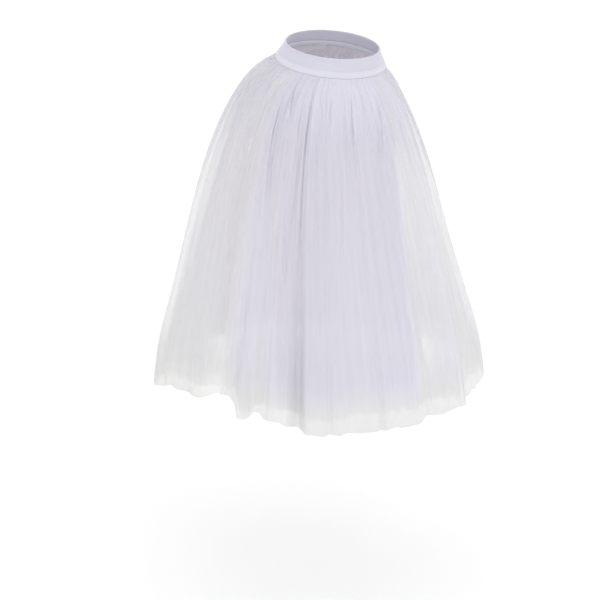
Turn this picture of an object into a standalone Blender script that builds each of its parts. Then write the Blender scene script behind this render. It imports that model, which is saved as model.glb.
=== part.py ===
"""Romantic ballet tutu: a contoured waistband, a binding over its seam and three
layers of gathered tulle that fall to the calf, in the form they take when worn.

Metres, +Z up. The origin is the centre of the waistband, half way up it. The wearer
faces -Y. Angles are degrees anticlockwise seen from above, starting at the wearer's
left (+X), so the centre front is at -90 and the wearer's right at 180.
"""

import math
from collections import namedtuple

import bpy
from mathutils import Vector

# ---------------------------------------------------------------- driving sizes
WAIST_HALF_WIDTH = 0.110      # top edge of the waistband, side to side
WAIST_HALF_DEPTH = 0.086      # top edge of the waistband, front to back
SEAM_HALF_WIDTH = 0.1285      # where the tulle is sewn on
SEAM_HALF_DEPTH = 0.103
SEAM_SHIFT_BACK = 0.006       # the hips reach further back than the waist
BAND_HEIGHT = 0.038
BINDING_HEIGHT = 0.011        # the strip along the foot of the waistband
WAIST_TILT = math.radians(13)  # the waistband dips towards the front
GAP = 0.0003                  # between neighbouring pieces
SEAM_DROP = 0.0006            # straight down, which keeps the gap across a sloping seam

BAND_THICKNESS = 0.0022
BINDING_THICKNESS = 0.0060    # folded over the gathered edges of all the layers
BINDING_PROUD = 0.0010
TULLE_THICKNESS = 0.0010
GATHERS = 64                  # round the waist, drawn up together in every layer

BAND_COLUMNS = 64

# The smooth form of the layers, one row for each height. "share" is how far down the
# outer layer the row lies, "back" and "right" how far the ring's centre has moved
# towards the wearer's back and right, and "gather" how deep the folds are on average.
Section = namedtuple("Section", "share half_width half_depth back right gather")
BELL = (                      # the outer layer stands out in a bell
    Section(0.000, 0.1285, 0.1030, 0.006, 0.000, 0.0007),
    Section(0.012, 0.1332, 0.1110, 0.012, 0.000, 0.0014),
    Section(0.040, 0.1555, 0.1385, 0.023, 0.000, 0.0028),
    Section(0.090, 0.1780, 0.1670, 0.033, 0.000, 0.0038),
    Section(0.180, 0.2105, 0.2010, 0.040, 0.000, 0.0036),
    Section(0.320, 0.2465, 0.2400, 0.045, 0.000, 0.0030),
    Section(0.500, 0.2790, 0.2745, 0.047, 0.000, 0.0030),
    Section(0.700, 0.3120, 0.3100, 0.045, 0.000, 0.0036),
    Section(0.860, 0.3380, 0.3370, 0.044, 0.000, 0.0044),
    Section(1.000, 0.3500, 0.3500, 0.044, 0.000, 0.0050),
)
CORE = (                      # the under layer falls straighter, round the legs
    Section(0.000, 0.1285, 0.1030, 0.006, 0.000, 0.0007),
    Section(0.012, 0.1330, 0.1107, 0.012, 0.000, 0.0013),
    Section(0.045, 0.1540, 0.1374, 0.024, 0.001, 0.0026),
    Section(0.100, 0.1710, 0.1590, 0.035, 0.004, 0.0034),
    Section(0.200, 0.1860, 0.1790, 0.048, 0.010, 0.0034),
    Section(0.360, 0.2090, 0.2050, 0.060, 0.018, 0.0030),
    Section(0.550, 0.2340, 0.2320, 0.066, 0.028, 0.0032),
    Section(0.750, 0.2580, 0.2580, 0.068, 0.034, 0.0040),
    Section(0.965, 0.2760, 0.2760, 0.066, 0.036, 0.0050),
)

# Height of the outer layer's hem, which hangs lowest towards the front.
Hem = namedtuple("Hem", "angle height")
HEMS = (
    Hem(-180, -0.690),
    Hem(-171, -0.674),
    Hem(-166, -0.676),
    Hem(-164, -0.684),
    Hem(-162, -0.712),
    Hem(-156, -0.703),
    Hem(-150, -0.712),
    Hem(-136, -0.740),
    Hem(-120, -0.736),
    Hem(-106, -0.731),
    Hem(-99, -0.734),
    Hem(-96, -0.723),
    Hem(-88, -0.726),
    Hem(-70, -0.722),
    Hem(-50, -0.708),
    Hem(0, -0.700),
    Hem(45, -0.692),
    Hem(90, -0.700),
    Hem(120, -0.722),
    Hem(138, -0.731),
    Hem(147, -0.721),
    Hem(156, -0.706),
    Hem(165, -0.688),
    Hem(172, -0.689),
)

# The large folds: each is a ridge (or a furrow, where the depth is negative) that
# starts "start" of the way down and is deepest at the hem. "before" and "after"
# are the degrees over which it rises and falls.
Fold = namedtuple("Fold", "angle depth before after start")
FOLDS = (
    Fold(-174, -0.012, 7, 5, 0.45),
    Fold(-161, 0.022, 5, 5, 0.30),
    Fold(-151, 0.010, 4, 4, 0.40),
    Fold(-142, -0.032, 4, 4, -0.10),
    Fold(-98, 0.024, 36, 4, 0.25),
    Fold(-72, 0.020, 18, 5, 0.30),
    Fold(-48, 0.014, 10, 9, 0.35),
    Fold(-29, -0.016, 8, 7, 0.30),
    Fold(-12, 0.018, 9, 7, 0.20),
    Fold(7, -0.020, 6, 9, 0.25),
    Fold(27, 0.016, 10, 7, 0.30),
    Fold(44, -0.012, 6, 6, 0.40),
    Fold(63, 0.022, 12, 8, 0.25),
    Fold(83, -0.018, 7, 9, 0.20),
    Fold(102, 0.016, 8, 8, 0.35),
    Fold(121, -0.022, 7, 6, 0.15),
    Fold(141, 0.011, 12, 6, 0.45),
    Fold(166, 0.015, 10, 7, 0.45),
)

# What makes the gathers uneven: these lists have no common period, so no two
# stretches of the waist repeat. Spacing, depth, and how far down a gather lasts.
SPACING_MIX = (1.0, 0.8, 1.2, 0.9, 1.1, 0.75, 1.25)
DEPTH_MIX = (1.0, 0.6, 1.35, 0.8, 1.2)
REACH_MIX = (1.3, 0.45, 0.9, 1.6, 0.6, 1.1, 0.35, 1.4, 0.75)

# "inset" is how far inside its smooth form a layer lies, at the seam and lower down,
# "folds" is its share of the large folds' depth, and "end" is where its hem comes.
# "shares" and "on_gather" place its rings down the drop and its columns on a gather.
Layer = namedtuple("Layer", "name sections top_inset low_inset folds shares end on_gather")
LAYERS = (
    Layer("tulle_outer", BELL, 0.0, 0.0, 1.0,
          (0, 0.012, 0.040, 0.090, 0.19, 0.36, 0.60, 0.82), 1.0, (0.0, 0.3, 0.7)),
    Layer("tulle_middle", BELL, 0.0017, 0.016, 1.0,
          (0, 0.012, 0.040, 0.09, 0.19, 0.50), 0.950, (0.0, 0.3, 0.7)),
    Layer("tulle_under", CORE, 0.0040, 0.012, 0.7,
          (0, 0.012, 0.050, 0.17, 0.52), 0.960, (0.0, 0.5)),
)
INSET_REACHED = 0.35          # share of the drop where the low inset is reached
SLOPE_STEP = 0.005            # share of the drop over which the skirt's slope is read

# ---------------------------------------------------------------- small helpers


def smooth(amount):
    """Ease from 0 to 1, level at both ends."""
    amount = min(max(amount, 0.0), 1.0)
    return amount * amount * (3.0 - 2.0 * amount)


def blend(first, second, amount):
    return first + (second - first) * amount


def along(rows, key, value, at):
    """A column of a table at any place on its key column, as a smooth curve."""
    keys = [getattr(row, key) for row in rows]
    values = [getattr(row, value) for row in rows]
    at = min(max(at, keys[0]), keys[-1])
    last = len(rows) - 1
    low = max(i for i in range(last) if keys[i] <= at)
    width = keys[low + 1] - keys[low]

    def slope(i):
        before, after = max(i - 1, 0), min(i + 1, last)
        return (values[after] - values[before]) / (keys[after] - keys[before])

    t = (at - keys[low]) / width
    rise = values[low + 1] - values[low]
    start, end = slope(low) * width, slope(low + 1) * width
    return values[low] + t * (start + t * (3 * rise - 2 * start - end + t * (start + end - 2 * rise)))


def turn(angle, centre):
    """Degrees from a centre to an angle, between -180 and 180."""
    return (angle - centre + 180.0) % 360.0 - 180.0


def hem_height(angle):
    rows = HEMS + (Hem(180, HEMS[0].height),)
    return along(rows, "angle", "height", turn(angle, 0.0))


# ---------------------------------------------------------------- form of the cloth


def gather_furrows():
    """The angle of each furrow between two gathers, unevenly spaced."""
    widths = [SPACING_MIX[i % len(SPACING_MIX)] for i in range(GATHERS)]
    scale = 360.0 / sum(widths)
    angles = [-180.0]
    for width in widths:
        angles.append(angles[-1] + width * scale)
    return angles


FURROWS = gather_furrows()


def furrow_depth(index, share, sections):
    """How deep one furrow is: its own share of the average, fading past its reach."""
    index %= GATHERS
    reach = REACH_MIX[index % len(REACH_MIX)]
    fade = 1.0 - 0.75 * smooth((share - 0.6 * reach) / (0.6 * reach))
    return DEPTH_MIX[index % len(DEPTH_MIX)] * fade * along(sections, "share", "gather", share)


def gather_offset(angle, share, sections):
    """Narrow furrows with a broad soft ridge between each two."""
    angle = turn(angle, 0.0)
    index = max(i for i in range(GATHERS) if FURROWS[i] <= angle + 1e-9)
    place = (angle - FURROWS[index]) / (FURROWS[index + 1] - FURROWS[index])
    here, beside = furrow_depth(index, share, sections), furrow_depth(index + 1, share, sections)
    depth = blend(here, beside, smooth(place))
    nearness = (0.5 + 0.5 * math.cos(2 * math.pi * place)) ** 2
    return depth * (0.5 - 1.5 * nearness)


def fold_offset(angle, share):
    total = 0.0
    for fold in FOLDS:
        away = turn(angle, fold.angle)
        width = fold.before if away < 0 else fold.after
        grown = smooth((share - fold.start) / (1.0 - fold.start))
        total += fold.depth * smooth(1.0 - abs(away) / width) * grown
    return total


def band_face(angle, height):
    """A point of the waistband's face, "height" above its middle."""
    down = (BAND_HEIGHT / 2 - height) / BAND_HEIGHT
    half_width = blend(WAIST_HALF_WIDTH, SEAM_HALF_WIDTH, down)
    half_depth = blend(WAIST_HALF_DEPTH, SEAM_HALF_DEPTH, down)
    turned = math.radians(angle)
    back = SEAM_SHIFT_BACK * down + half_depth * math.sin(turned)
    return Vector((half_width * math.cos(turned), back, height + back * math.tan(WAIST_TILT)))


def skirt_form(angle, share, sections):
    """A point of a layer's smooth form, before any gather or fold."""
    turned = math.radians(angle)
    half_width = along(sections, "share", "half_width", share)
    half_depth = along(sections, "share", "half_depth", share)
    left = half_width * math.cos(turned) - along(sections, "share", "right", share)
    back = half_depth * math.sin(turned) + along(sections, "share", "back", share)
    seam_back = sections[0].half_depth * math.sin(turned) + sections[0].back
    top = -BAND_HEIGHT / 2 - SEAM_DROP + seam_back * math.tan(WAIST_TILT)
    return Vector((left, back, blend(top, hem_height(angle), share)))


def moved_out(form, angle, high, low, at, out):
    """A point of a form, moved square to it. The form's slope is that from high to low."""
    down = form(angle, low) - form(angle, high)
    round_it = form(angle + 1.0, at) - form(angle - 1.0, at)
    return form(angle, at) + down.cross(round_it).normalized() * out


def band_point(angle, height, out):
    return moved_out(band_face, angle, BAND_HEIGHT / 2, -BAND_HEIGHT / 2, height, out)


def skirt_point(angle, share, layer):
    """A point of a layer's outer face."""
    def form(at_angle, at_share):
        return skirt_form(at_angle, at_share, layer.sections)

    deeper = 1.0 - (1.0 - min(share / INSET_REACHED, 1.0)) ** 2
    inset = blend(layer.top_inset, layer.low_inset, deeper)
    gathered = gather_offset(angle, share, layer.sections)
    out = gathered + fold_offset(angle, share) * layer.folds - inset
    high, low = max(share - SLOPE_STEP, 0.0), min(share + SLOPE_STEP, 1.0)
    return moved_out(form, angle, high, low, share, out)


# ---------------------------------------------------------------- making the objects


def fabric(name, colour, roughness):
    material = bpy.data.materials.new(name)
    material.use_nodes = True
    shader = material.node_tree.nodes["Principled BSDF"]
    shader.inputs["Base Color"].default_value = (*colour, 1.0)
    shader.inputs["Roughness"].default_value = roughness
    shader.inputs["Metallic"].default_value = 0.0
    material.diffuse_color = (*colour, 1.0)
    return material


def cloth_tube(name, rings, thickness, material, collection):
    """A tube of cloth through rings of points, top ring first, with an even wall."""
    columns = len(rings[0])
    points = [point for ring in rings for point in ring]
    faces = []
    for row in range(len(rings) - 1):
        for column in range(columns):
            beside = (column + 1) % columns
            top, low = row * columns, (row + 1) * columns
            faces.append((top + column, low + column, low + beside, top + beside))
    mesh = bpy.data.meshes.new(name)
    mesh.from_pydata(points, [], faces)
    mesh.materials.append(material)
    mesh.validate()
    mesh.shade_smooth()
    tube = bpy.data.objects.new(name, mesh)
    collection.objects.link(tube)
    wall = tube.modifiers.new("wall", "SOLIDIFY")
    wall.thickness = thickness
    wall.offset = -1.0
    wall.use_even_offset = True
    wall.use_rim = True
    return tube


def build_waistband(material, collection):
    """A smooth band with a rolled top edge."""
    foot = -BAND_HEIGHT / 2 + BINDING_HEIGHT + GAP
    head = BAND_HEIGHT / 2
    profile = (
        (head, -0.0008),
        (head - 0.0012, 0.0004),
        (head - 0.0050, 0.0004),
        (head - 0.0062, -0.0003),
        (foot, 0.0),
    )
    angles = [360.0 * i / BAND_COLUMNS - 180.0 for i in range(BAND_COLUMNS)]
    rings = [[band_point(a, height, out) for a in angles] for height, out in profile]
    return cloth_tube("waistband", rings, BAND_THICKNESS, material, collection)


def build_binding(material, collection):
    """The strip that covers the gathered edges of the tulle."""
    foot = -BAND_HEIGHT / 2
    head = foot + BINDING_HEIGHT
    round_off = 0.0012
    profile = (
        (head, BINDING_PROUD - 0.0006),
        (head - round_off, BINDING_PROUD),
        (foot + round_off, BINDING_PROUD),
        (foot, BINDING_PROUD - 0.0002),
    )
    angles = [360.0 * i / BAND_COLUMNS - 180.0 for i in range(BAND_COLUMNS)]
    rings = [[band_point(a, height, out) for a in angles] for height, out in profile]
    return cloth_tube("seam_binding", rings, BINDING_THICKNESS, material, collection)


def build_layer(layer, material, collection):
    """One layer of tulle, gathered at the top and free at the hem."""
    angles = []
    for start, end in zip(FURROWS[:-1], FURROWS[1:]):
        angles += [blend(start, end, place) for place in layer.on_gather]
    shares = (*layer.shares, layer.end)
    rings = [[skirt_point(angle, share, layer) for angle in angles] for share in shares]
    return cloth_tube(layer.name, rings, TULLE_THICKNESS, material, collection)


def clear_scene():
    for item in list(bpy.data.objects):
        bpy.data.objects.remove(item, do_unlink=True)


def main():
    clear_scene()
    collection = bpy.data.collections.new("ballet_tutu")
    bpy.context.scene.collection.children.link(collection)
    satin = fabric("white satin", (0.78, 0.76, 0.84), 0.55)
    tulle = fabric("white tulle", (0.70, 0.68, 0.76), 0.85)
    build_waistband(satin, collection)
    build_binding(satin, collection)
    for layer in LAYERS:
        build_layer(layer, tulle, collection)


main()
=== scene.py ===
"""Looks of the romantic ballet tutu: sheer layers of gathered tulle on a satin waistband.

Metres, +Z up. The origin is the centre of the waistband and the wearer faces -Y.
Angles are degrees anticlockwise seen from above, from the wearer's left (+X), so the
centre front is at -90 and the wearer's right at 180. "share" is how far down the
outer layer a place lies, from 0 at the seam to 1 at the hem.
"""

import math
from collections import namedtuple

import bmesh
import bpy
import numpy as np
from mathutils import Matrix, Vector


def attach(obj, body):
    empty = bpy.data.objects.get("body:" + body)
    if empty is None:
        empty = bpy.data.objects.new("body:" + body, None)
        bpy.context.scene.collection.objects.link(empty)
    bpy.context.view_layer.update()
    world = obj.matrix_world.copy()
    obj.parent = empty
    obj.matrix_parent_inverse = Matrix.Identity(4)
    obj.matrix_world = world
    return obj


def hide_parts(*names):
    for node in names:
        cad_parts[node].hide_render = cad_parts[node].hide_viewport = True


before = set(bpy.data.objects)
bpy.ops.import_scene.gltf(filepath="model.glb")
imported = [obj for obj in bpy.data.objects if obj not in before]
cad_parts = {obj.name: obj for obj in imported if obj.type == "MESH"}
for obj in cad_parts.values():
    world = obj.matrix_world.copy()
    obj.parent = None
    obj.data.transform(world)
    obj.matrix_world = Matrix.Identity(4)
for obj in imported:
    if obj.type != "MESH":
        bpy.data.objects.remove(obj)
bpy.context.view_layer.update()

# ---------------------------------------------------------------- camera and stage

CAMERA_PLACE = Vector((-3.182, -3.182, 0.680))
CAMERA_TARGET = Vector((-0.0491, 0.0491, -0.5385))
LENS = 128.96                 # millimetres
SENSOR_WIDTH = 36             # millimetres
CAMERA_REACH = 200
FLOOR_HEIGHT = -1.17          # where the wearer's toes would stand
FLOOR_SIZE = 60
FLOOR_COLOUR = (0.97, 0.97, 0.97, 1.0)
STUDIO_COLOUR = (1.0, 1.0, 1.0, 1.0)
STUDIO_STRENGTH = 1.08
KEY_PLACE = Vector((-1.5, -3.5, 2.0))
KEY_TARGET = Vector((0, 0, -0.4))
KEY_SIZE = 1.6
KEY_POWER = 17                # watts
CLEAR_LAYERS = 64             # how many layers of net a ray may pass

# ---------------------------------------------------------------- sizes of the garment

WAIST_HALF_WIDTH = 0.110
WAIST_HALF_DEPTH = 0.086
SEAM_HALF_WIDTH = 0.1285
SEAM_HALF_DEPTH = 0.103
SEAM_SHIFT_BACK = 0.006
BAND_HEIGHT = 0.038
BINDING_HEIGHT = 0.011
WAIST_TILT = math.radians(13)
BAND_THICKNESS = 0.0022
BINDING_THICKNESS = 0.0060
BINDING_PROUD = 0.0010
GAP = 0.0003
SEAM_DROP = 0.0002            # from the binding's foot down to the top of the cloth
SEAM_FULL = 0.0009            # how far the outer cloth swells under the binding
SEAM_SWELL_END = 0.012        # share where that swelling ends
LAP = 0.0020                  # how far the binding laps over the waistband
SEAM_ROUND = 0.73             # round the waist seam
GATHERS = 64

STITCH_PITCH = 0.0034
STITCH_HALF = 0.40            # half a stitch's length, as a share of the pitch
STITCH_RADIUS = 0.00028
STITCH_RISE = 0.2             # of its radius, how far its middle stands out
STITCH_DIP = 1.3              # of its radius, how far its ends go in from there
STITCH_SIDES = 6
UPPER_STITCHES = (0.0012, 0.0008)              # below the binding's head, and out
LOWER_STITCHES = (0.0022, BINDING_PROUD)       # above the binding's foot, and out
# Rings along a stitch: the place along it from -1 to 1, and the thickness there.
STITCH_RINGS = (
    (-1.0, 0.15), (-0.92, 0.6), (-0.6, 0.95), (0.0, 1.0), (0.6, 0.95), (0.92, 0.6), (1.0, 0.15),
)

# The smooth form of the layers. "share" is how far down the outer layer a ring lies,
# "back" and "right" how far its centre has moved, and "gather" how deep the folds are.
Section = namedtuple("Section", "share half_width half_depth back right gather")
BELL = (
    Section(0.000, 0.1285, 0.1030, 0.006, 0.000, 0.0007),
    Section(0.012, 0.1332, 0.1110, 0.012, 0.000, 0.0014),
    Section(0.040, 0.1555, 0.1385, 0.023, 0.000, 0.0028),
    Section(0.090, 0.1780, 0.1670, 0.033, 0.000, 0.0032),
    Section(0.180, 0.2105, 0.2010, 0.040, 0.000, 0.0022),
    Section(0.320, 0.2465, 0.2400, 0.045, 0.000, 0.0016),
    Section(0.500, 0.2790, 0.2745, 0.047, 0.000, 0.0016),
    Section(0.700, 0.3120, 0.3100, 0.045, 0.000, 0.0022),
    Section(0.860, 0.3380, 0.3370, 0.044, 0.000, 0.0034),
    Section(1.000, 0.3500, 0.3500, 0.044, 0.000, 0.0044),
)
CORE = (
    Section(0.000, 0.1285, 0.1030, 0.006, 0.000, 0.0007),
    Section(0.012, 0.1330, 0.1107, 0.012, 0.000, 0.0013),
    Section(0.045, 0.1540, 0.1374, 0.024, 0.001, 0.0026),
    Section(0.100, 0.1710, 0.1590, 0.035, 0.004, 0.0032),
    Section(0.200, 0.1860, 0.1790, 0.048, 0.010, 0.0030),
    Section(0.360, 0.2090, 0.2050, 0.060, 0.018, 0.0028),
    Section(0.550, 0.2340, 0.2320, 0.066, 0.028, 0.0030),
    Section(0.750, 0.2580, 0.2580, 0.068, 0.034, 0.0036),
    Section(0.965, 0.2760, 0.2760, 0.066, 0.036, 0.0046),
)

# "second" is where the middle layer's hem lies, as a share of the outer layer's drop.
Hem = namedtuple("Hem", "angle height second")
HEMS = (
    Hem(-180, -0.690, 0.980),
    Hem(-171, -0.674, 0.985),
    Hem(-166, -0.676, 0.980),
    Hem(-164, -0.684, 0.978),
    Hem(-162.5, -0.710, 0.976),
    Hem(-161, -0.714, 0.975),
    Hem(-158, -0.712, 0.973),
    Hem(-156.8, -0.702, 0.972),
    Hem(-154.5, -0.701, 0.970),
    Hem(-153, -0.711, 0.969),
    Hem(-150, -0.714, 0.966),
    Hem(-136, -0.740, 0.958),
    Hem(-120, -0.736, 0.955),
    Hem(-106, -0.731, 0.953),
    Hem(-99, -0.734, 0.953),
    Hem(-96, -0.723, 0.962),
    Hem(-88, -0.726, 0.966),
    Hem(-76, -0.728, 0.968),
    Hem(-62, -0.724, 0.968),
    Hem(-50, -0.712, 0.982),
    Hem(-20, -0.702, 0.968),
    Hem(0, -0.700, 0.955),
    Hem(45, -0.692, 0.970),
    Hem(90, -0.700, 0.952),
    Hem(120, -0.722, 0.960),
    Hem(138, -0.731, 0.972),
    Hem(147, -0.721, 0.967),
    Hem(156, -0.706, 0.962),
    Hem(165, -0.688, 0.970),
    Hem(172, -0.689, 0.976),
    Hem(180, -0.690, 0.980),
)

# Large folds: ridges, or furrows where the depth is negative.
Fold = namedtuple("Fold", "angle depth before after start")
FOLDS = (
    Fold(-174, -0.012, 7, 5, 0.45),
    Fold(-161, 0.022, 5, 5, 0.30),
    Fold(-151, 0.010, 4, 4, 0.40),
    Fold(-142, -0.026, 4, 4, -0.10),
    Fold(-98, 0.018, 36, 6, 0.25),
    Fold(-76, 0.018, 16, 5, 0.30),
    Fold(-48, 0.014, 10, 9, 0.35),
    Fold(-29, -0.016, 8, 7, 0.30),
    Fold(-12, 0.018, 9, 7, 0.20),
    Fold(7, -0.020, 6, 9, 0.25),
    Fold(27, 0.016, 10, 7, 0.30),
    Fold(44, -0.012, 6, 6, 0.40),
    Fold(63, 0.022, 12, 8, 0.25),
    Fold(83, -0.018, 7, 9, 0.20),
    Fold(102, 0.016, 8, 8, 0.35),
    Fold(121, -0.022, 7, 6, 0.15),
    Fold(141, 0.011, 12, 6, 0.45),
    Fold(166, 0.015, 10, 7, 0.45),
)

# Lists with no common period, so no two stretches of the waist repeat.
SPACING_MIX = (1.0, 0.8, 1.2, 0.9, 1.1, 0.75, 1.25)
DEPTH_MIX = (1.0, 0.6, 1.35, 0.8, 1.2)
REACH_MIX = (1.3, 0.45, 0.9, 1.6, 0.6, 1.1, 0.35, 1.4, 0.75)

# Creases, given one by one: narrow furrows that start at "top" and end at "foot", both as
# shares of the drop, and move "drift" degrees round on the way. "half" is in degrees.
Crease = namedtuple("Crease", "angle drift top foot depth half")
CREASES = (
    Crease(-178, 2, 0.01, 0.34, 0.0030, 1.5),
    Crease(-171, -3, 0.02, 0.22, 0.0040, 1.1),
    Crease(-163, 5, 0.05, 0.44, 0.0075, 0.80),
    Crease(-158, 6, 0.01, 0.14, 0.0050, 0.80),
    Crease(-149, 2, 0.40, 0.62, 0.0045, 1.2),
    Crease(-147, 1, 0.09, 0.21, 0.0035, 0.80),
    Crease(-141, -1, 0.03, 0.58, 0.0065, 0.75),
    Crease(-133, 1, 0.01, 0.30, 0.0030, 1.2),
    Crease(-126, -2, 0.02, 0.17, 0.0035, 1.2),
    Crease(-121, -3, 0.20, 0.56, 0.0030, 1.0),
    Crease(-116, -2, 0.01, 0.24, 0.0030, 1.3),
    Crease(-110, -5, 0.02, 0.26, 0.0045, 0.80),
    Crease(-101, -5, 0.02, 0.20, 0.0030, 1.2),
    Crease(-86, -13, 0.04, 0.27, 0.0050, 0.80),
    Crease(-80, -4, 0.01, 0.22, 0.0035, 1.3),
    Crease(-66, -4, 0.02, 0.36, 0.0040, 1.5),
    Crease(-52, 3, 0.01, 0.20, 0.0035, 1.3),
    Crease(-41, 2, 0.03, 0.45, 0.0050, 1.5),
    Crease(-30, -2, 0.01, 0.24, 0.0035, 1.4),
    Crease(-18, 3, 0.02, 0.30, 0.0040, 1.3),
    Crease(-3, 4, 0.03, 0.52, 0.0055, 1.5),
    Crease(9, -1, 0.01, 0.18, 0.0035, 1.3),
    Crease(20, 3, 0.02, 0.33, 0.0040, 1.4),
    Crease(36, 2, 0.03, 0.24, 0.0050, 1.3),
    Crease(47, -2, 0.01, 0.42, 0.0040, 1.4),
    Crease(58, 3, 0.02, 0.21, 0.0035, 1.3),
    Crease(73, 3, 0.03, 0.48, 0.0055, 1.5),
    Crease(86, -2, 0.01, 0.20, 0.0035, 1.3),
    Crease(97, 2, 0.02, 0.30, 0.0045, 1.4),
    Crease(112, 3, 0.03, 0.38, 0.0045, 1.4),
    Crease(127, -2, 0.01, 0.19, 0.0035, 1.3),
    Crease(139, 2, 0.02, 0.46, 0.0050, 1.5),
    Crease(152, -2, 0.01, 0.25, 0.0040, 1.4),
    Crease(168, 3, 0.03, 0.36, 0.0050, 1.4),
)

# How many thicknesses of net hang together, where plies part or overlap, in the gathers,
# at mid height and at the hem, and how much painted shading shows. It is strongest
# where the net lies deepest and shade falls.
Ply = namedtuple("Ply", "angle gathers plies hem lilac")
PLIES = (
    Ply(-180, 0.34, 1.00, 0.95, 0.20),
    Ply(-178, 0.38, 0.88, 0.62, 0.12),
    Ply(-174, 0.50, 0.54, 0.55, 0.05),
    Ply(-171.5, 0.62, 0.58, 0.65, 0.05),
    Ply(-169.5, 0.72, 0.92, 1.35, 0.15),
    Ply(-167.5, 0.75, 1.00, 1.40, 0.40),
    Ply(-164, 0.80, 1.12, 1.35, 0.70),
    Ply(-155, 0.95, 1.15, 1.10, 0.60),
    Ply(-150, 1.20, 1.35, 1.30, 0.95),
    Ply(-143, 1.10, 1.10, 0.85, 0.75),
    Ply(-138, 1.50, 1.60, 2.00, 0.90),
    Ply(-120, 1.60, 1.65, 2.10, 0.80),
    Ply(-99.5, 1.50, 1.50, 1.90, 1.00),
    Ply(-97, 1.25, 1.22, 1.60, 0.25),
    Ply(-80, 1.50, 1.58, 1.60, 0.55),
    Ply(-60, 0.80, 0.98, 1.15, 0.25),
    Ply(-40, 0.48, 1.02, 1.30, 0.45),
    Ply(-22, 0.60, 1.05, 1.10, 0.35),
    Ply(0, 1.10, 1.05, 1.05, 0.70),
    Ply(20, 1.00, 1.20, 1.10, 0.40),
    Ply(45, 1.30, 1.40, 1.35, 0.75),
    Ply(62, 1.00, 1.10, 1.00, 0.40),
    Ply(84, 1.10, 1.20, 1.20, 0.65),
    Ply(104, 0.60, 0.95, 0.95, 0.40),
    Ply(112, 0.42, 1.05, 1.15, 0.55),
    Ply(126, 0.26, 0.85, 1.10, 0.40),
    Ply(142, 0.24, 0.66, 1.00, 0.10),
    Ply(160, 0.26, 0.82, 1.30, 0.10),
    Ply(176, 0.32, 1.00, 1.60, 0.20),
    Ply(180, 0.34, 1.00, 0.95, 0.20),
)

# How many thicknesses of net lie over each other at each height of a layer: many in the
# gathers, fewest where the skirt opens out, more again where it hangs down to the hem.
Veil = namedtuple("Veil", "share tulle_outer tulle_middle tulle_under")
VEILS = (
    Veil(0.00, 2.60, 2.80, 2.20),
    Veil(0.03, 2.60, 2.60, 1.60),
    Veil(0.08, 2.30, 1.60, 1.30),
    Veil(0.18, 0.95, 0.85, 0.90),
    Veil(0.30, 0.60, 0.52, 1.50),
    Veil(0.50, 0.68, 0.56, 2.40),
    Veil(0.70, 0.76, 0.72, 1.90),
    Veil(0.85, 0.86, 1.40, 1.90),
    Veil(0.93, 1.60, 2.30, 1.80),
    Veil(1.00, 2.20, 2.40, 1.10),
)

# A layer lies "top_inset" inside its sections at the seam and "low_inset" further down,
# and has the shares "folds" and "gathers" of their depths. Its hem is at the share "end",
# or where HEMS says, and "uneven" by that share of the drop. "width" is the cut's, in
# metres. Its colours are "neutral" where the net is thin and, where it lies deep, a second
# colour of painted shading: cooler on the outer layer, cooler and much darker on the
# middle one, and lighter on the under one.
Layer = namedtuple(
    "Layer", "name sections top_inset low_inset folds gathers end uneven seed width neutral lilac")
LAYERS = (
    Layer("tulle_outer", BELL, 0.0, 0.0, 1.0, 1.0, 1.0, 0.004, 11, 2.50,
          (0.74, 0.74, 0.735), (0.765, 0.752, 0.838)),
    Layer("tulle_middle", BELL, 0.0017, 0.014, 1.0, 0.4, None, 0.011, 23, 2.30,
          (0.94, 0.94, 0.93), (0.70, 0.69, 0.76)),
    Layer("tulle_under", CORE, 0.0040, 0.012, 0.7, 0.6, 0.960, 0.010, 37, 1.90,
          (0.77, 0.755, 0.795), (0.86, 0.83, 0.88)),
)
INSET_REACHED = 0.35          # share where the low inset is reached
SLOPE_STEP = 0.005            # share, either way of a place, that its slope is taken over
SLOPE_TURN = 1.0              # degrees, the same round the ring
FURROW_HOLD = 0.6             # share of a gather's reach that keeps its full depth
FURROW_LOSS = 0.75            # share of its depth that it then loses
CREST_DEPTH = 0.5             # of a gather's depth, outwards
FURROW_DEPTH = 1.5            # of it, inwards from the crest

# ---------------------------------------------------------------- forms


def smooth(amount):
    amount = np.clip(amount, 0.0, 1.0)
    return amount * amount * (3.0 - 2.0 * amount)


def ramp(share, start, length):
    """From 0 at the share "start" to 1 a "length" further down."""
    return smooth((share - start) / length)


def blend(first, second, amount):
    return first + (second - first) * amount


def along(rows, key, value, at):
    """A column of a table at any places on its key column, as a smooth curve."""
    keys = np.array([getattr(row, key) for row in rows], dtype=float)
    values = np.array([getattr(row, value) for row in rows], dtype=float)
    at = np.clip(at, keys[0], keys[-1])
    last = len(rows) - 1
    low = np.clip(np.searchsorted(keys, at, side="right") - 1, 0, last - 1)
    before = np.maximum(np.arange(last + 1) - 1, 0)
    after = np.minimum(np.arange(last + 1) + 1, last)
    slopes = (values[after] - values[before]) / (keys[after] - keys[before])
    width = keys[low + 1] - keys[low]
    t = (at - keys[low]) / width
    rise = values[low + 1] - values[low]
    start, end = slopes[low] * width, slopes[low + 1] * width
    bend = 3 * rise - 2 * start - end
    return values[low] + t * (start + t * (bend + t * (start + end - 2 * rise)))


def turn(angle, centre):
    """How far round an angle is from a centre, from -180 to 180."""
    return (angle - centre + 180.0) % 360.0 - 180.0


def hem_height(angle):
    return along(HEMS, "angle", "height", turn(angle, 0.0))


def gather_furrows():
    widths = np.array([SPACING_MIX[i % len(SPACING_MIX)] for i in range(GATHERS)])
    return -180.0 + np.concatenate([[0.0], np.cumsum(widths)]) * 360.0 / widths.sum()


FURROWS = gather_furrows()
REACHES = np.array([REACH_MIX[i % len(REACH_MIX)] for i in range(GATHERS)])
DEPTHS = np.array([DEPTH_MIX[i % len(DEPTH_MIX)] for i in range(GATHERS)])


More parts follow.
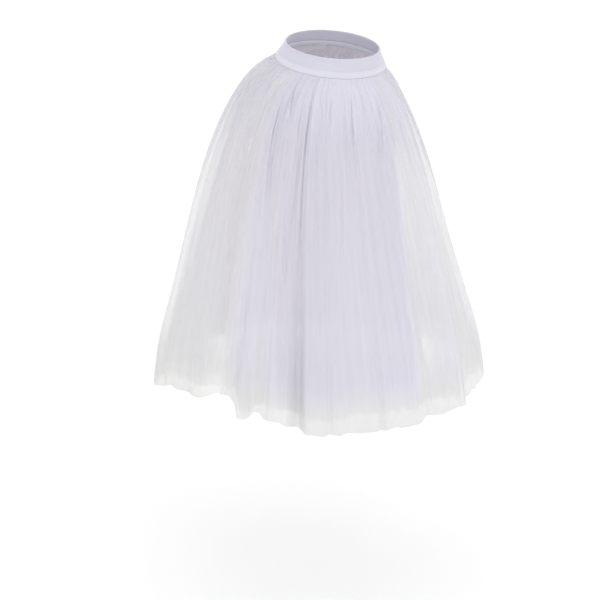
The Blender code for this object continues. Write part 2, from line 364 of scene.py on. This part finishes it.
def furrow_depth(index, share, sections):
    index = index % GATHERS
    held = FURROW_HOLD * REACHES[index]
    fade = 1.0 - FURROW_LOSS * ramp(share, held, held)
    return DEPTHS[index] * fade * along(sections, "share", "gather", share)


def gather_place(angle):
    """Which gather an angle is in, and how far across it."""
    angle = turn(angle, 0.0)
    index = np.clip(np.searchsorted(FURROWS, angle + 1e-9, side="right") - 1, 0, GATHERS - 1)
    return index, (angle - FURROWS[index]) / (FURROWS[index + 1] - FURROWS[index])


def gather_offset(angle, share, sections):
    index, place = gather_place(angle)
    here, beside = furrow_depth(index, share, sections), furrow_depth(index + 1, share, sections)
    depth = blend(here, beside, smooth(place))
    nearness = (0.5 + 0.5 * np.cos(2 * np.pi * place)) ** 2
    return depth * (CREST_DEPTH - FURROW_DEPTH * nearness)


def fold_offset(angle, share):
    total = 0.0
    for fold in FOLDS:
        away = turn(angle, fold.angle)
        width = np.where(away < 0, fold.before, fold.after)
        grown = ramp(share, fold.start, 1.0 - fold.start)
        total = total + fold.depth * smooth(1.0 - np.abs(away) / width) * grown
    return total


def band_face(angle, height):
    down = (BAND_HEIGHT / 2 - height) / BAND_HEIGHT
    half_width = blend(WAIST_HALF_WIDTH, SEAM_HALF_WIDTH, down)
    half_depth = blend(WAIST_HALF_DEPTH, SEAM_HALF_DEPTH, down)
    turned = np.radians(angle)
    back = SEAM_SHIFT_BACK * down + half_depth * np.sin(turned)
    return np.stack(np.broadcast_arrays(
        half_width * np.cos(turned), back, height + back * math.tan(WAIST_TILT)), -1)


def skirt_form(angle, share, sections):
    turned = np.radians(angle)
    half_width = along(sections, "share", "half_width", share)
    half_depth = along(sections, "share", "half_depth", share)
    left = half_width * np.cos(turned) - along(sections, "share", "right", share)
    back = half_depth * np.sin(turned) + along(sections, "share", "back", share)
    seam_back = sections[0].half_depth * np.sin(turned) + sections[0].back
    top = -BAND_HEIGHT / 2 - SEAM_DROP + seam_back * math.tan(WAIST_TILT)
    return np.stack(np.broadcast_arrays(left, back, blend(top, hem_height(angle), share)), -1)


def moved_out(form, angle, high, low, at, out):
    """Points of a form, moved square to it. The form's slope is that from high to low."""
    down = form(angle, low) - form(angle, high)
    across = form(angle + SLOPE_TURN, at) - form(angle - SLOPE_TURN, at)
    square = np.cross(down, across)
    square /= np.linalg.norm(square, axis=-1, keepdims=True)
    return form(angle, at) + square * np.asarray(out)[..., None]


def band_points(angle, height, out):
    return moved_out(band_face, angle, BAND_HEIGHT / 2, -BAND_HEIGHT / 2, height, out)


# ---------------------------------------------------------------- fine drape of the tulle

COLUMNS = 1440
ROWS = 62
ROW_CROWDING = 1.15           # rows lie closer together near the seam
EDGE = 0.004                  # share of the drop that the cut edge darkens
EDGE_COVER = 0.5              # how much more the cut edge hides
COVER_REACH = 0.9             # degrees either way that the gathers' cover is averaged over
GATHERED_RANGE = (0.8, 3.0)   # limits of the cloth in a gather against its room

# Smooth noise: its knots round the ring and down the cloth, and how strong it is.
Noise = namedtuple("Noise", "round down strength")
LIVELY = Noise(23, 5, 0.55)             # share of the gathers' depth
PLEATS = Noise(160, 5, 1.0)
BROAD_RIPPLES = Noise(74, 3, 0.0040)    # metres
NARROW_RIPPLES = Noise(230, 4, 0.0004)
FINE_COVER = Noise(260, 4, 0.06)
BROAD_COVER = Noise(64, 3, 0.10)
FINE_HEM = Noise(190, 2, 0.8)
BROAD_HEM = Noise(48, 2, 1.0)
BROAD_PUCKERS = Noise(37, 2, 0.6)
FINE_PUCKERS = Noise(190, 2, 0.0002)

MEAN_LIVELY = 0.70            # mean share of the gathers' depth
TOP_PLEAT = 0.0002            # depth of the little pleats at the seam
FULL_PLEAT = 0.0006           # and how much more they have below it
PLEAT_LOSS = 0.8              # share of that which fades away further down
CREASE_OPENS = 4.0            # the first quarter of a crease opens
CREASE_CLOSES = 2.5           # and its last two fifths close
CREASE_COVER = 1.4            # how much more net lies in a crease of an inner layer
UNDER_PLIES = 0.5             # how far the under layer follows the plies low down
MORE_SHADING = 0.4               # how much stronger the painted shading is in the gathers

# Ramps down the cloth: the share where each starts, and its length.
PLEATS_GROW = (0.0, 0.08)
PLEATS_FADE = (0.1, 0.3)
CREASES_GROW = (0.0, 0.08)
RIPPLES_GROW = (0.12, 0.88)
GATHERS_TO_PLIES = (0.05, 0.20)
PLIES_TO_HEM = (0.70, 0.24)
UNDER_GROW = (0.0, 0.3)
# Painted shading: the gathers' extra shading gives way to bands, and it all fades out at the hem.
SHADING_IN_BANDS = (0.05, 0.35)
SHADING_FADES = (0.85, 0.13)

# The front panel, whose plies narrow upwards.
PANEL_CENTRE = -88.0
PANEL_REACH = 45.0
PANEL_LEAN = 18.0             # degrees that its edges move from the hem to the seam
PANEL_CURVE = 1.5


def ring_noise(random, noise, angle, share):
    """Smooth noise that closes round the ring and changes slowly down the cloth."""
    values = random.uniform(-1.0, 1.0, (noise.down, noise.round))
    across = (np.asarray(angle) + 180.0) / 360.0 * noise.round
    column = np.floor(across).astype(int)
    between = smooth(across - column)
    down = np.clip(share, 0, 1) * (noise.down - 1)
    row = np.minimum(np.floor(down).astype(int), noise.down - 2)
    within = smooth(down - row)

    def line(at_row):
        here = values[at_row, column % noise.round]
        beside = values[at_row, (column + 1) % noise.round]
        return blend(here, beside, between)

    return noise.strength * blend(line(row), line(row + 1), within)


def crease_marks(angle, share):
    """Each crease's depth and strength at every place, added up."""
    depth, strength = 0.0, 0.0
    for crease in CREASES:
        down = (share - crease.top) / (crease.foot - crease.top)
        away = turn(angle, crease.angle + crease.drift * np.clip(down, 0, 1))
        mark = smooth(1.0 - np.abs(away) / crease.half)
        mark = mark * smooth(CREASE_OPENS * down) * smooth(CREASE_CLOSES * (1.0 - down))
        depth = depth + crease.depth * mark
        strength = strength + mark
    return depth, strength


def liveliness(angle, share):
    """Quiet stretches of the gathers lie between lively ones."""
    return MEAN_LIVELY + ring_noise(np.random.default_rng(3), LIVELY, angle, share)


def fine_pleats(angle, share):
    """Little uneven pleats, sewn down together in every layer."""
    left = 1.0 - PLEAT_LOSS * ramp(share, *PLEATS_FADE)
    depth = TOP_PLEAT + FULL_PLEAT * ramp(share, *PLEATS_GROW) * left
    return depth * ring_noise(np.random.default_rng(5), PLEATS, angle, share)


def ripples(layer, angle, share):
    """Uneven waves that grow towards the free hem."""
    random = np.random.default_rng(layer.seed)
    broad = ring_noise(random, BROAD_RIPPLES, angle, share)
    narrow = ring_noise(random, NARROW_RIPPLES, angle, share)
    return ramp(share, *RIPPLES_GROW) * (broad + narrow)


def layer_points(layer, angle, share):
    def form(at_angle, at_share):
        return skirt_form(at_angle, at_share, layer.sections)

    deeper = 1.0 - (1.0 - np.minimum(share / INSET_REACHED, 1.0)) ** 2
    inset = blend(layer.top_inset, layer.low_inset, deeper)
    crease = crease_marks(angle, share)[0] * ramp(share, *CREASES_GROW)
    out = gather_offset(angle, share, layer.sections) * liveliness(angle, share) * layer.gathers
    out = out + fold_offset(angle, share) * layer.folds
    out = out - inset - crease
    out = out + fine_pleats(angle, share) * layer.gathers + ripples(layer, angle, share)
    if layer.name == "tulle_outer":
        out = out + SEAM_FULL * (1.0 - ramp(share, 0.0, SEAM_SWELL_END))
    high = np.clip(share - SLOPE_STEP, 0.0, 1.0 - SLOPE_STEP)
    low = np.clip(share + SLOPE_STEP, SLOPE_STEP, 1.0)
    return moved_out(form, angle, high, low, share, out)


def on_panels(angle, share):
    """The angle at the hem of the ply that a place is on. The front panel narrows upwards."""
    near = smooth(1.0 - np.abs(turn(angle, PANEL_CENTRE)) / PANEL_REACH)
    return turn(angle - PANEL_LEAN * (1.0 - share) ** PANEL_CURVE * near, 0.0)


def cover_of(layer, angle, share, gathered):
    """How many thicknesses of net lie over each other: more where it is gathered."""
    random = np.random.default_rng(layer.seed + 1)
    fine = ring_noise(random, FINE_COVER, angle, share)
    broad = ring_noise(random, BROAD_COVER, angle, share)
    panel = on_panels(angle, share)
    high, plies, low = (along(PLIES, "angle", part, panel) for part in ("gathers", "plies", "hem"))
    plies = blend(high, plies, ramp(share, *GATHERS_TO_PLIES))
    plies = blend(plies, low, ramp(share, *PLIES_TO_HEM))
    if layer.name == "tulle_under":
        even = 1.0 - UNDER_PLIES + UNDER_PLIES * plies
        plies = blend(plies, even, ramp(share, *UNDER_GROW))
    folded = 1.0
    if layer.name != "tulle_outer":
        folded = 1.0 + CREASE_COVER * np.minimum(crease_marks(angle, share)[1], 1.0)
    edge = 1.0 + EDGE_COVER * smooth((share / hem_share(layer, angle) - 1.0 + EDGE) / EDGE)
    veil = along(VEILS, "share", layer.name, share)
    return veil * gathered * plies * folded * edge * (1.0 + fine + broad)


def painted_shading_of(angle, share):
    """Where the painted shading shows: all round the gathers, in bands lower down, not at the hem.
    """
    bands = along(PLIES, "angle", "lilac", on_panels(angle, share))
    high = 1.0 - ramp(share, *SHADING_IN_BANDS)
    shading_weight = blend(bands, np.minimum(bands + MORE_SHADING, 1.0), high)
    return shading_weight * (1.0 - ramp(share, *SHADING_FADES))


# ---------------------------------------------------------------- meshes


def grid_mesh(name, points, closed_down=False):
    """A mesh through a grid of points, closed round the ring."""
    rows, columns = points.shape[:2]
    number = np.arange(rows * columns).reshape(rows, columns)
    if closed_down:
        number = np.vstack([number, number[:1]])
    top, low = number[:-1], number[1:]
    beside_top, beside_low = np.roll(top, -1, axis=1), np.roll(low, -1, axis=1)
    faces = np.stack([top, low, beside_low, beside_top], -1).reshape(-1, 4)
    mesh = bpy.data.meshes.new(name)
    mesh.from_pydata(points.reshape(-1, 3).tolist(), [], faces.tolist())
    mesh.shade_smooth()
    return mesh


def new_piece(name, mesh, material):
    piece = bpy.data.objects.new(name, mesh)
    bpy.context.scene.collection.objects.link(piece)
    mesh.materials.append(material)
    return piece


def write_cut(mesh, across, down, width):
    """Where each point lies on the flat cloth, in metres, as UVs of a mesh of quads."""
    uv = mesh.uv_layers.new(name="cut")
    loops = np.zeros(len(mesh.loops), dtype=np.int32)
    mesh.loops.foreach_get("vertex_index", loops)
    quad = np.stack([across.ravel()[loops], down.ravel()[loops]], -1).reshape(-1, 4, 2)
    wraps = quad[..., 0].max(axis=1) - quad[..., 0].min(axis=1) > width / 2
    quad[wraps, :, 0] += np.where(quad[wraps, :, 0] < width / 2, width, 0.0)
    uv.data.foreach_set("uv", quad.ravel().astype(np.float32))


def smooth_round(values):
    """Averages over a few degrees round the ring, so that only whole gathers count."""
    reach = round(COLUMNS * COVER_REACH / 360)
    return sum(np.roll(values, step, axis=1) for step in range(-reach, reach + 1)) / (2 * reach + 1)


def round_steps(points):
    """How far it is at each point from its neighbour before to that after it."""
    return np.linalg.norm(np.roll(points, -1, axis=1) - np.roll(points, 1, axis=1), axis=-1)


def write_value(mesh, name, values):
    attribute = mesh.attributes.new(name, "FLOAT", "POINT")
    attribute.data.foreach_set("value", values.ravel().astype(np.float32))


def hem_share(layer, angles):
    """Where a layer's hem lies, as a share of the outer layer's drop."""
    if layer.end is None:
        return along(HEMS, "angle", "second", angles)
    return np.full_like(angles, layer.end)


def build_layer(layer, material):
    """A layer of cloth, and the mean way down it, in metres."""
    shares = np.linspace(0.0, 1.0, ROWS) ** ROW_CROWDING
    shares = np.sort(np.append(shares, 1.0 - EDGE))
    angles = np.linspace(-180.0, 180.0, COLUMNS, endpoint=False)
    angle, share = np.meshgrid(angles, shares)
    share = share * hem_share(layer, angles)
    random = np.random.default_rng(layer.seed + 2)
    at_seam = np.zeros_like(share)
    uneven = ring_noise(random, FINE_HEM, angle, at_seam)
    uneven = uneven + ring_noise(random, BROAD_HEM, angle, at_seam)
    points = layer_points(layer, angle, share * (1.0 + layer.uneven * uneven))
    drops = np.linalg.norm(np.diff(points, axis=0), axis=-1)
    plain = skirt_form(angle, share, layer.sections)
    gathered = np.clip(smooth_round(round_steps(points) / round_steps(plain)), *GATHERED_RANGE)
    gathered /= gathered.mean(axis=1, keepdims=True)
    mesh = grid_mesh(layer.name + "_cloth", points)
    write_value(mesh, "cover", cover_of(layer, angle, share, gathered))
    # Painted shading: how far each place takes its layer's second colour, which paints in shading.
    write_value(mesh, "lilac", painted_shading_of(angle, share))
    down = np.vstack([np.zeros(COLUMNS), np.cumsum(drops, axis=0)])
    write_cut(mesh, (angle + 180.0) / 360.0 * layer.width, -down, layer.width)
    return new_piece(layer.name + "_cloth", mesh, material), float(drops.sum(axis=0).mean())


def band_section(foot, head):
    """The waistband's closed section, as (height, out): a rolled top over a hollow face."""
    back = -BAND_THICKNESS
    return (
        (head - 0.0001, -0.0013), (head, -0.0006), (head - 0.0004, 0.0002),
        (head - 0.0014, 0.0009), (head - 0.0028, 0.0010), (head - 0.0042, 0.0006),
        (head - 0.0056, 0.0), (head - 0.0075, -0.0004), (head - 0.0110, -0.0006),
        (head - 0.0150, -0.0004), (head - 0.0190, -0.0001), (foot + 0.0030, 0.0),
        (foot, -0.0002), (foot, back), (foot + 0.0020, back), (head - 0.0120, back),
        (head - 0.0020, back), (head - 0.0005, back + 0.0003),
    )


def binding_section(foot, head):
    """The binding's closed section: soft, fullest in its middle, pressed flat on the band."""
    out, back = BINDING_PROUD, BINDING_PROUD - BINDING_THICKNESS
    return (
        (head + LAP, -0.0004), (head + LAP - 0.0003, 0.0001), (head + LAP - 0.0010, 0.0004),
        (head, 0.0006), (head - 0.0016, 0.0008), (head - 0.0036, out + 0.0001),
        (head - 0.0056, out + 0.0003), (foot + 0.0036, out + 0.0002),
        (foot + 0.0018, out), (foot + 0.0006, out - 0.0003),
        (foot, out - 0.0009), (foot, back + 0.0012), (foot + 0.0010, back), (head - 0.0012, back),
        (head, back + 0.0010), (head, -0.0006), (head + LAP - 0.0002, -0.0006),
    )


BAND_COLUMNS = 1024
MEAN_PUCKER = 0.6             # mean share of the puckers' depth
PUCKER_DEPTH = 0.0006
PUCKER_REACH = 0.0075         # up from the binding's foot


def puckers(height, out, angles, foot):
    """Uneven little puckers where the gathers push into the lower edge of the binding."""
    random = np.random.default_rng(8)
    strength = MEAN_PUCKER + ring_noise(random, BROAD_PUCKERS, angles, 0.0 * angles)
    wave = 0.5 + 0.5 * np.cos(2 * np.pi * gather_place(angles)[1])
    small = ring_noise(random, FINE_PUCKERS, angles, 0.0 * angles)
    near = smooth(1.0 - (height - foot) / PUCKER_REACH) if out > 0 else 0.0
    return near * strength * (PUCKER_DEPTH * (wave - 0.5) + small)


def swept_band(name, section, material, puckered=False):
    """A closed section carried round the waist, with its cut size as its UV."""
    angles = np.linspace(-180.0, 180.0, BAND_COLUMNS, endpoint=False)
    foot = min(height for height, _ in section)
    rings = []
    for height, out in section:
        moved = out + puckers(height, out, angles, foot) if puckered else out
        rings.append(band_points(angles, height, moved))
    mesh = grid_mesh(name, np.array(rings), closed_down=True)
    across = np.broadcast_to((angles + 180.0) / 360.0 * SEAM_ROUND, (len(section), BAND_COLUMNS))
    down = np.repeat(np.array([height for height, _ in section])[:, None], BAND_COLUMNS, axis=1)
    write_cut(mesh, across, down, SEAM_ROUND)
    return new_piece(name, mesh, material)


def add_stitches(piece, height, out):
    """A row of stitches sewn through a band, joined to its mesh. Their ends dip into it."""
    count = int(SEAM_ROUND / STITCH_PITCH)
    turned = np.radians(np.arange(STITCH_SIDES) * 360.0 / STITCH_SIDES)
    edit = bmesh.new()
    edit.from_mesh(piece.data)
    for angle in -180.0 + 360.0 * (np.arange(count) + 0.5) / count:
        rings = []
        for place, thick in STITCH_RINGS:
            middle = out + STITCH_RADIUS * (STITCH_RISE - STITCH_DIP * place ** 4)
            ring = band_points(
                angle + place * STITCH_HALF * 360.0 / count,
                height + STITCH_RADIUS * thick * np.sin(turned),
                middle + STITCH_RADIUS * thick * np.cos(turned))
            rings.append([edit.verts.new(point) for point in ring])
        for first, second in zip(rings, rings[1:]):
            for i in range(STITCH_SIDES):
                face = edit.faces.new((first[i], first[i - 1], second[i - 1], second[i]))
                face.smooth = True
        edit.faces.new(rings[0])
        edit.faces.new(rings[-1][::-1])
    edit.to_mesh(piece.data)
    edit.free()


# ---------------------------------------------------------------- materials


def principled(name):
    material = bpy.data.materials.new(name)
    material.use_nodes = True
    nodes = material.node_tree.nodes
    return material, nodes, material.node_tree.links, nodes["Principled BSDF"]


NET_COVER = 0.50              # how much of the view one flat thickness of net hides
THROUGH = 0.15                # share of the light that comes through the threads
NET_PITCH = 0.0022            # from one hole of the net to the next
NET_CONTRAST = 0.25           # how much denser the threads are than the mean

# Noise on the flat cloth, in waves to a metre across and down it.
THREADS = (150.0, 1.6)
DRAWN_FOLDS = (55.0, 1.0)
SATIN_TONE = (14.0, 90.0)
SATIN_SLUBS = (260.0, 2600.0)
SATIN_DRAG = (60.0, 420.0)
THREAD_STRENGTH = 0.10
DRAWN_STRENGTH = 0.34
STREAK_DETAIL = 0.6
DRAG_STRENGTH = 2.0           # against that of the slubs

# Satin colours: where the tone is deepest, and where it is lightest.
BAND_SATIN = ((0.565, 0.555, 0.645), (0.60, 0.59, 0.68))
RIBBON_SATIN = ((0.615, 0.605, 0.69), (0.665, 0.655, 0.735))


def chain(nodes, links, operation, *values):
    """A maths node on its inputs, each a socket or a number."""
    made = nodes.new("ShaderNodeMath")
    made.operation = operation
    for place, value in enumerate(values):
        if isinstance(value, (int, float)):
            made.inputs[place].default_value = value
        else:
            links.new(value, made.inputs[place])
    return made.outputs[0]


def net_density(nodes, links, cut):
    """A honeycomb net, as waves in three directions. It averages one."""
    total = None
    number = 4 * math.pi / math.sqrt(3) / NET_PITCH
    for turned in (0, math.radians(60), math.radians(120)):
        wave = nodes.new("ShaderNodeVectorMath")
        wave.operation = "DOT_PRODUCT"
        wave.inputs[1].default_value = (number * math.cos(turned), number * math.sin(turned), 0)
        links.new(cut, wave.inputs[0])
        swing = chain(nodes, links, "COSINE", wave.outputs["Value"])
        total = swing if total is None else chain(nodes, links, "ADD", total, swing)
    swing = chain(nodes, links, "MULTIPLY", total, NET_CONTRAST)
    return chain(nodes, links, "SUBTRACT", 1.0, swing)


def cut_map(nodes):
    """Where a place lies on the flat cloth."""
    cut = nodes.new("ShaderNodeUVMap")
    cut.uv_map = "cut"
    return cut.outputs[0]


def blended_colour(nodes, links, first, second, factor):
    colour = nodes.new("ShaderNodeMix")
    colour.data_type = "RGBA"
    colour.inputs["A"].default_value = (*first, 1.0)
    colour.inputs["B"].default_value = (*second, 1.0)
    links.new(factor, colour.inputs["Factor"])
    return colour.outputs["Result"]


def stretched_noise(nodes, links, cut, waves, detail=2.0):
    """Noise from 0 to 1 on the flat cloth."""
    scale = nodes.new("ShaderNodeVectorMath")
    scale.operation = "MULTIPLY"
    scale.inputs[1].default_value = (*waves, 1)
    links.new(cut, scale.inputs[0])
    noise = nodes.new("ShaderNodeTexNoise")
    noise.noise_dimensions = "2D"
    noise.inputs["Scale"].default_value = 1.0
    noise.inputs["Detail"].default_value = detail
    links.new(scale.outputs[0], noise.inputs["Vector"])
    return noise.outputs[0]


def streaks(nodes, links, cut, waves, strength):
    """Streaks that run down the cloth. They average about one."""
    noise = stretched_noise(nodes, links, cut, waves, STREAK_DETAIL)
    centred = chain(nodes, links, "SUBTRACT", noise, 0.5)
    return chain(nodes, links, "ADD", chain(nodes, links, "MULTIPLY", centred, strength), 1.0)


def tulle_material(name, neutral, lilac):
    """Sheer net: each thickness of it hides the same share of what is left to see."""
    material, nodes, links, shader = principled(name)
    # Painted shading: the colour turns to the layer's second, painted-shading colour where the net
    # lies deep.
    shading_weight = nodes.new("ShaderNodeAttribute")
    shading_weight.attribute_name = "lilac"
    colour = blended_colour(nodes, links, neutral, lilac, shading_weight.outputs["Fac"])
    links.new(colour, shader.inputs["Base Color"])
    shader.inputs["Roughness"].default_value = 0.85
    shader.inputs["Specular IOR Level"].default_value = 0.2
    shader.inputs["Sheen Weight"].default_value = 0.1
    cover = nodes.new("ShaderNodeAttribute")
    cover.attribute_name = "cover"
    cut = cut_map(nodes)
    thick = cover.outputs["Fac"]
    for factor in (
            net_density(nodes, links, cut),
            streaks(nodes, links, cut, THREADS, THREAD_STRENGTH),
            streaks(nodes, links, cut, DRAWN_FOLDS, DRAWN_STRENGTH)):
        thick = chain(nodes, links, "MULTIPLY", thick, factor)
    see = chain(nodes, links, "POWER", 1.0 - NET_COVER, thick)
    through = nodes.new("ShaderNodeBsdfTranslucent")
    links.new(colour, through.inputs["Color"])
    lit = nodes.new("ShaderNodeMixShader")
    lit.inputs[0].default_value = THROUGH
    links.new(shader.outputs[0], lit.inputs[1])
    links.new(through.outputs[0], lit.inputs[2])
    clear = nodes.new("ShaderNodeBsdfTransparent")
    shown = nodes.new("ShaderNodeMixShader")
    links.new(see, shown.inputs[0])
    links.new(lit.outputs[0], shown.inputs[1])
    links.new(clear.outputs[0], shown.inputs[2])
    links.new(shown.outputs[0], nodes["Material Output"].inputs["Surface"])
    return material


def satin_material(name, shade, light):
    """Satin: a soft change of tone, a fine weave with slubs along it, and a broad sheen."""
    material, nodes, links, shader = principled(name)
    cut = cut_map(nodes)
    tone = stretched_noise(nodes, links, cut, SATIN_TONE)
    links.new(blended_colour(nodes, links, shade, light, tone), shader.inputs["Base Color"])
    shader.inputs["Sheen Weight"].default_value = 0.2
    shader.inputs["Roughness"].default_value = 0.5
    slubs = stretched_noise(nodes, links, cut, SATIN_SLUBS)
    drag = stretched_noise(nodes, links, cut, SATIN_DRAG)
    raised = chain(nodes, links, "ADD", slubs, chain(nodes, links, "MULTIPLY", drag, DRAG_STRENGTH))
    bump = nodes.new("ShaderNodeBump")
    bump.inputs["Strength"].default_value = 0.35
    bump.inputs["Distance"].default_value = 0.0003
    links.new(raised, bump.inputs["Height"])
    links.new(bump.outputs[0], shader.inputs["Normal"])
    return material


# ---------------------------------------------------------------- the scene


def aim(thing, place, target):
    """Put a lamp or a camera at a place, looking at a target."""
    thing.location = place
    thing.rotation_euler = (target - place).to_track_quat("-Z", "Y").to_euler()


def build_stage():
    bpy.ops.mesh.primitive_plane_add(size=FLOOR_SIZE, location=(0, 0, FLOOR_HEIGHT))
    floor = bpy.context.object
    floor.name = "studio_floor"
    material, _, _, shader = principled("studio floor")
    shader.inputs["Base Color"].default_value = FLOOR_COLOUR
    shader.inputs["Roughness"].default_value = 1.0
    shader.inputs["Specular IOR Level"].default_value = 0.0
    floor.data.materials.append(material)


def build_lights():
    scene = bpy.context.scene
    world = bpy.data.worlds.new("studio")
    scene.world = world
    world.use_nodes = True
    background = world.node_tree.nodes["Background"]
    background.inputs["Color"].default_value = STUDIO_COLOUR
    background.inputs["Strength"].default_value = STUDIO_STRENGTH
    key = bpy.data.lights.new("key", "AREA")
    key.shape = "DISK"
    key.size = KEY_SIZE
    key.energy = KEY_POWER
    lamp = bpy.data.objects.new("key", key)
    aim(lamp, KEY_PLACE, KEY_TARGET)
    scene.collection.objects.link(lamp)


def build_camera():
    camera = bpy.data.cameras.new("camera")
    camera.lens = LENS
    camera.sensor_width = SENSOR_WIDTH
    camera.clip_end = CAMERA_REACH
    holder = bpy.data.objects.new("camera", camera)
    aim(holder, CAMERA_PLACE, CAMERA_TARGET)
    bpy.context.scene.collection.objects.link(holder)
    bpy.context.scene.camera = holder


def main():
    build_camera()
    build_stage()
    build_lights()
    scene = bpy.context.scene
    scene.view_settings.view_transform = "Standard"
    scene.cycles.transparent_max_bounces = CLEAR_LAYERS

    low = -BAND_HEIGHT / 2
    high = low + BINDING_HEIGHT
    satin = satin_material("white satin", *BAND_SATIN)
    band = swept_band("waistband_cloth", band_section(high + GAP, BAND_HEIGHT / 2), satin)
    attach(band, "root")
    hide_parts("waistband")
    ribbon = satin_material("white satin ribbon", *RIBBON_SATIN)
    binding = swept_band("binding_cloth", binding_section(low, high), ribbon, puckered=True)
    add_stitches(binding, high - UPPER_STITCHES[0], UPPER_STITCHES[1])
    add_stitches(binding, low + LOWER_STITCHES[0], LOWER_STITCHES[1])
    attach(binding, "root")
    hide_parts("seam_binding")

    for layer in LAYERS:
        net = tulle_material(layer.name + " net", layer.neutral, layer.lilac)
        piece, length = build_layer(layer, net)
        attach(piece, "root")
        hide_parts(layer.name)


main()
